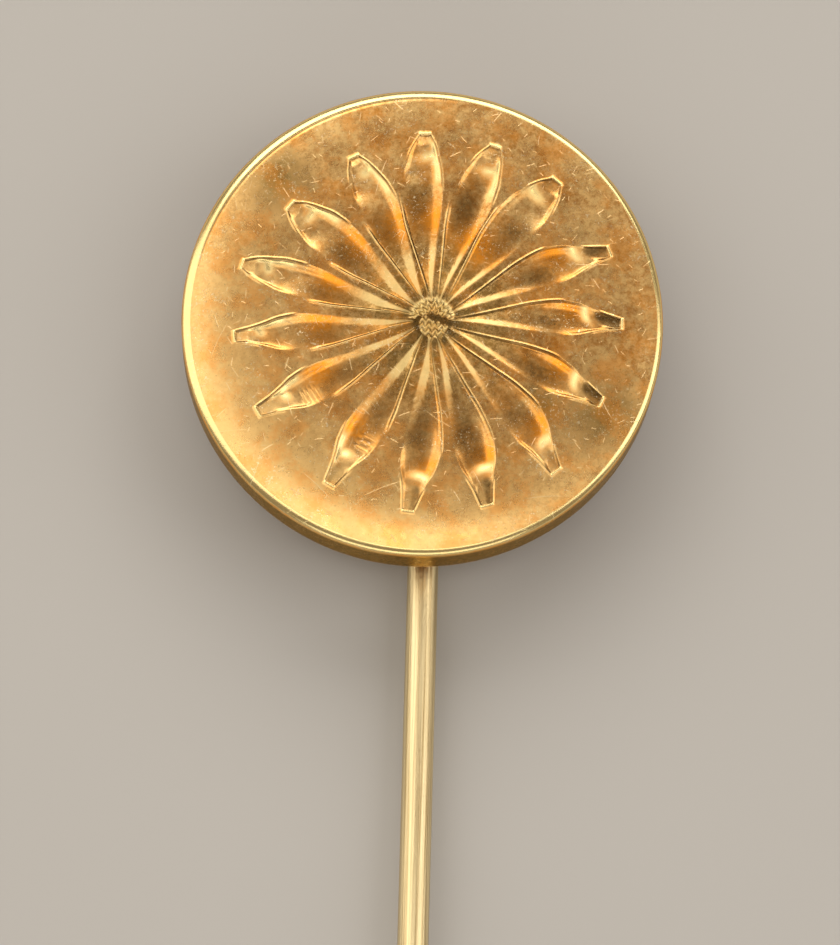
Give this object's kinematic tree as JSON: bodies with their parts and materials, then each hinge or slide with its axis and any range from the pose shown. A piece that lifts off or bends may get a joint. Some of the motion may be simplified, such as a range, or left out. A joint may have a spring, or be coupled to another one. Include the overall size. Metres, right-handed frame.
{
  "type": "stick pin with engraved round head",
  "caption": "Straight stick pin with a round gold head engraved with a daisy, and a sliding ball-locking guard over the point.",
  "frame": {"origin": "on the stem's axis, level with the middle of the head", "axes": "-Y along the stem towards its point, +Z out of the engraved face, X across the head"},
  "size_m": [0.014, 0.0623, 0.0054],
  "materials": {
    "engraved_gold": "satin gold-filled sheet, bright where cut",
    "pale_gold": "drawn and burnished",
    "base_brass": "turned",
    "solder": "flowed, slightly rough",
    "spring_steel": "bright drawn wire",
    "ball_steel": "polished"
  },
  "bodies": {
    "head": {"face_shell": "engraved_gold", "core_disc": "base_brass", "back_plate": "engraved_gold", "stem_pad": "pale_gold", "stem": "pale_gold", "solder_fillet": "solder"},
    "guard": {"guard_barrel": "pale_gold", "cone_bush": "base_brass", "retaining_washer": "base_brass", "grip_spring": "spring_steel"},
    "release": {"ball_cage": "base_brass", "release_knob": "pale_gold"},
    "ball_1": {"locking_ball_1": "ball_steel"},
    "ball_2": {"locking_ball_2": "ball_steel"},
    "ball_3": {"locking_ball_3": "ball_steel"}
  },
  "joints": [
    {"name": "guard_slide", "type": "slide", "parent": "head", "child": "guard", "axis": [0, -1, 0], "range_m": [0, 0.03]},
    {"name": "release_pull", "type": "slide", "parent": "guard", "child": "release", "axis": [0, -1, 0], "range_m": [0, 0.0008], "stiffness_N_per_m": 300, "springref_m": -0.001, "deforming": ["grip_spring"]},
    {"name": "ball_1_out", "type": "slide", "parent": "release", "child": "ball_1", "axis": [0, 0, 1], "range_m": [0, 0.0002]},
    {"name": "ball_2_out", "type": "slide", "parent": "release", "child": "ball_2", "axis": [-0.866, 0, -0.5], "range_m": [0, 0.0002]},
    {"name": "ball_3_out", "type": "slide", "parent": "release", "child": "ball_3", "axis": [0.866, 0, -0.5], "range_m": [0, 0.0002]}
  ],
  "couplings": [
    {"joint": "ball_1_out", "follows": "release_pull", "ratio": 0.2493},
    {"joint": "ball_2_out", "follows": "release_pull", "ratio": 0.2493},
    {"joint": "ball_3_out", "follows": "release_pull", "ratio": 0.2493}
  ]
}
